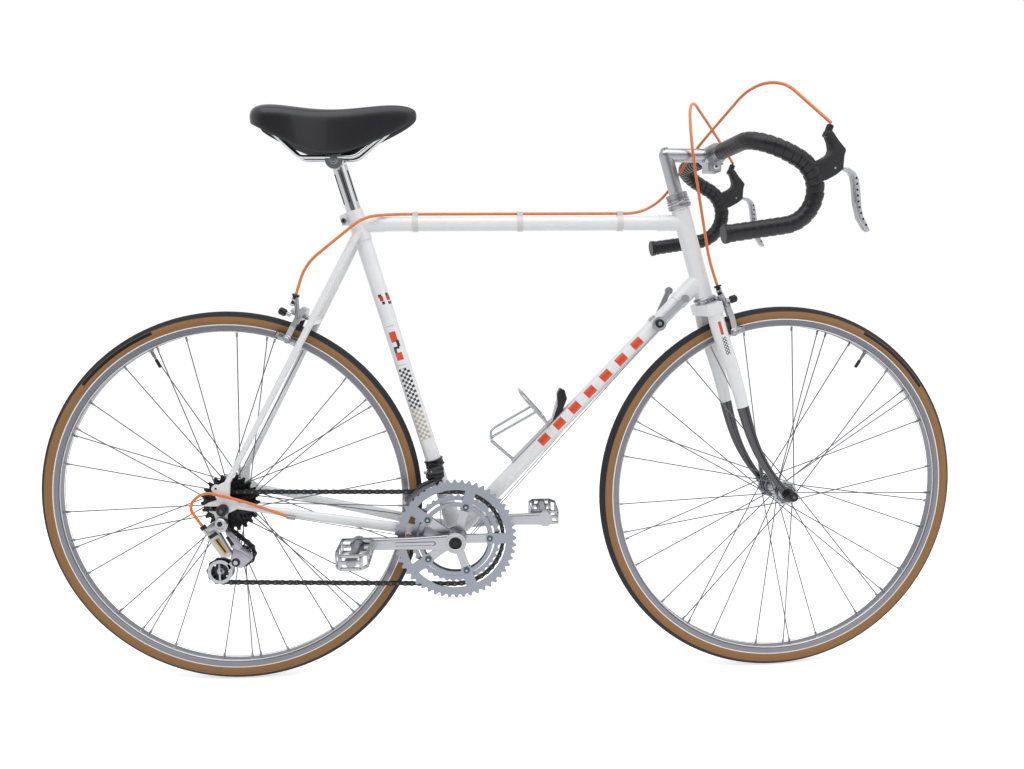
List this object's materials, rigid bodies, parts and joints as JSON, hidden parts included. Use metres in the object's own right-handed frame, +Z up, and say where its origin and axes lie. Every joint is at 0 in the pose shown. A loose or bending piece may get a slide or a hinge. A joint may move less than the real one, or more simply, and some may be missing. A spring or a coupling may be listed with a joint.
{
  "type": "road racing bicycle",
  "caption": "Steel lugged road racing bicycle with drop handlebar, side-pull brakes, derailleur gears, tan-sided tyres and a bottle cage.",
  "frame": {"origin": "the rider mount on top of the saddle, in the centre plane, above the seat post clamp", "axes": "+X forward along the wheelbase, +Y to the rider's left, +Z up"},
  "size_m": [1.6775, 0.4422, 1.0501],
  "materials": {
    "frame_paint": "pearl",
    "chrome": "polished",
    "alloy": "polished",
    "rim_alloy": "anodised grey",
    "steel": "bright",
    "black_steel": "oiled black",
    "tyre": "tan sidewalls with a black tread",
    "black_plastic": "gloss",
    "tape": "matt cloth tape",
    "hood_rubber": "matt",
    "saddle_cover": "gloss black",
    "housing_orange": "gloss orange"
  },
  "bodies": {
    "frame": {"head_tube": "frame_paint", "top_tube": "frame_paint", "down_tube": "frame_paint", "seat_tube": "frame_paint", "seat_lug": "frame_paint", "bottom_bracket_shell": "frame_paint", "rear_stays": "frame_paint", "rear_dropouts": "frame_paint", "bottom_bracket_cups": "steel", "headset_cups": "chrome", "rear_brake": "alloy", "rear_skewer": "steel", "chain": "black_steel", "seat_post": "chrome", "saddle_rails": "chrome", "saddle": "saddle_cover", "rear_derailleur": "alloy", "front_derailleur": "black_plastic", "shift_levers": "alloy", "shift_wires": "steel", "cable_stop": "steel", "derailleur_housing": "housing_orange", "rear_brake_housing": "housing_orange", "cable_clips": "chrome", "bottle_cage": "alloy"},
    "steering": {"headset_nuts": "chrome", "fork_crown": "frame_paint", "fork_blades": "frame_paint", "fork_ends": "chrome", "stem": "alloy", "handlebar": "alloy", "bar_tape": "tape", "brake_hoods": "hood_rubber", "brake_levers": "alloy", "front_brake": "alloy", "front_skewer": "steel", "front_brake_housing": "housing_orange"},
    "front_wheel": {"front_tyre": "tyre", "front_rim": "rim_alloy", "front_spokes": "steel", "front_hub": "alloy"},
    "rear_wheel": {"rear_tyre": "tyre", "rear_rim": "rim_alloy", "rear_spokes": "steel", "rear_hub": "alloy", "freewheel": "black_steel"},
    "crankset": {"crank_axle": "steel", "right_crank": "alloy", "left_crank": "alloy", "chainrings": "alloy"},
    "right_pedal_body": {"right_pedal": "alloy"},
    "left_pedal_body": {"left_pedal": "alloy"}
  },
  "joints": [
    {"name": "steering", "type": "hinge", "parent": "frame", "child": "steering", "pos_m": [0.79328, 0, -0.682], "axis": [-0.284, 0, 0.9588], "range_deg": [-64.2, 55.8], "deforming": ["rear_brake_housing"]},
    {"name": "front_wheel_spin", "type": "hinge", "parent": "steering", "child": "front_wheel", "pos_m": [0.8349, 0.00293, -0.68203], "axis": [-0.0702, 0.9973, -0.0208], "continuous": true},
    {"name": "rear_wheel_spin", "type": "hinge", "parent": "frame", "child": "rear_wheel", "pos_m": [-0.165, 0, -0.682], "axis": [0, 1, 0], "continuous": true},
    {"name": "crank_spin", "type": "hinge", "parent": "frame", "child": "crankset", "pos_m": [0.23496, 0, -0.75], "axis": [0, 1, 0], "continuous": true},
    {"name": "right_pedal_spin", "type": "hinge", "parent": "crankset", "child": "right_pedal_body", "pos_m": [0.06496, 0, -0.75], "axis": [0, 1, 0], "continuous": true},
    {"name": "left_pedal_spin", "type": "hinge", "parent": "crankset", "child": "left_pedal_body", "pos_m": [0.40496, 0, -0.75], "axis": [0, 1, 0], "continuous": true}
  ]
}
